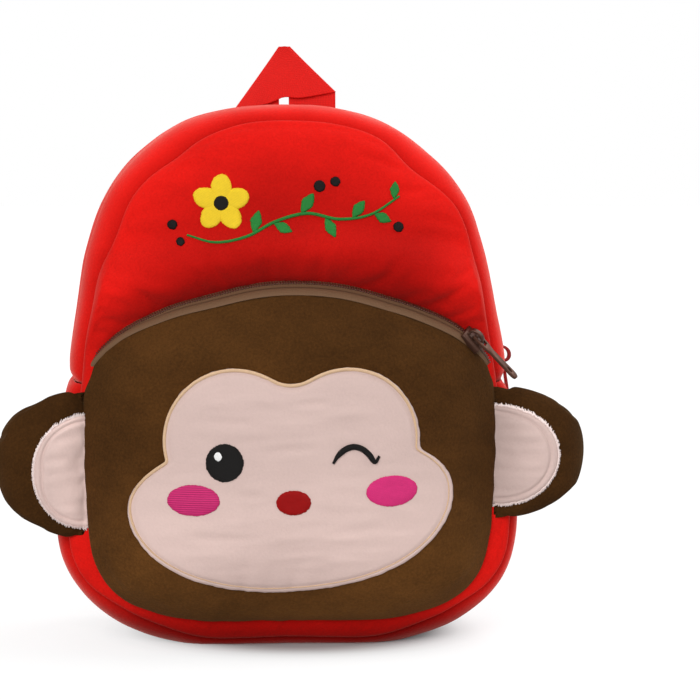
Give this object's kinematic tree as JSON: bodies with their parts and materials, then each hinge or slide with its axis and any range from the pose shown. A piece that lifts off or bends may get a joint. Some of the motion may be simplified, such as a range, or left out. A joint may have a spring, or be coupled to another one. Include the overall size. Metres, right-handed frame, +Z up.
{
  "type": "plush school bag",
  "caption": "Small plush backpack with an arched zip, a domed monkey-head front pocket with stuffed ears, a webbing hanging loop and adjustable shoulder straps.",
  "frame": {"origin": "on the floor, at the middle of the base, midway between the front and back seams", "axes": "+X to the right seen from the front, +Y from the front towards the back panel and straps, +Z up"},
  "size_m": [0.2682, 0.2029, 0.271],
  "materials": {
    "red_plush": "short-pile red plush",
    "brown_plush": "short-pile dark brown plush",
    "pink_plush": "smooth pale pink plush",
    "red_webbing": "woven red webbing",
    "red_zip_tape": "woven dark red zip tape",
    "red_zip_coil": "red nylon coil",
    "red_zip_metal": "red coated slider and pull",
    "brown_zip_tape": "woven brown zip tape",
    "brown_zip_coil": "dark brown nylon coil",
    "bronze_metal": "dull bronze slider and pull",
    "black_thread": "black embroidery",
    "magenta_thread": "magenta embroidery",
    "red_thread": "red embroidery",
    "red_buckle": "moulded red plastic"
  },
  "bodies": {
    "bag": {"front_panel": "red_plush", "back_panel": "red_plush", "gusset_front_strip": "red_plush", "gusset_back_strip": "red_plush", "gusset_lower": "red_plush", "main_zip_tape": "red_zip_tape", "main_zip_coil": "red_zip_coil", "main_zip_slider": "red_zip_metal", "pocket_panel": "brown_plush", "pocket_zip_tape": "brown_zip_tape", "pocket_zip_coil": "brown_zip_coil", "pocket_zip_slider": "bronze_metal", "face_patch": "pink_plush", "eye_open": "black_thread", "eye_wink": "black_thread", "cheek_left": "magenta_thread", "cheek_right": "magenta_thread", "nose": "red_thread", "ear_left": "brown_plush", "ear_right": "brown_plush", "inner_ear_left": "pink_plush", "inner_ear_right": "pink_plush", "hang_loop": "red_webbing", "strap_left": "red_webbing", "strap_right": "red_webbing", "strap_tab_left": "red_webbing", "strap_tab_right": "red_webbing", "tri_glide_left": "red_buckle", "tri_glide_right": "red_buckle"},
    "main_zip_pull": {"main_zip_pull": "red_zip_metal"},
    "pocket_zip_pull": {"pocket_zip_pull": "bronze_metal"}
  },
  "joints": [
    {"name": "main_pull_hinge", "type": "hinge", "parent": "bag", "child": "main_zip_pull", "pos_m": [0.10119, 0.00567, 0.12824], "axis": [0, -1, 0], "range_deg": [0, 160]},
    {"name": "pocket_pull_hinge", "type": "hinge", "parent": "bag", "child": "pocket_zip_pull", "pos_m": [0.08261, -0.05349, 0.14076], "axis": [-0.4325, -0.8008, -0.4144], "range_deg": [0, 130]}
  ]
}
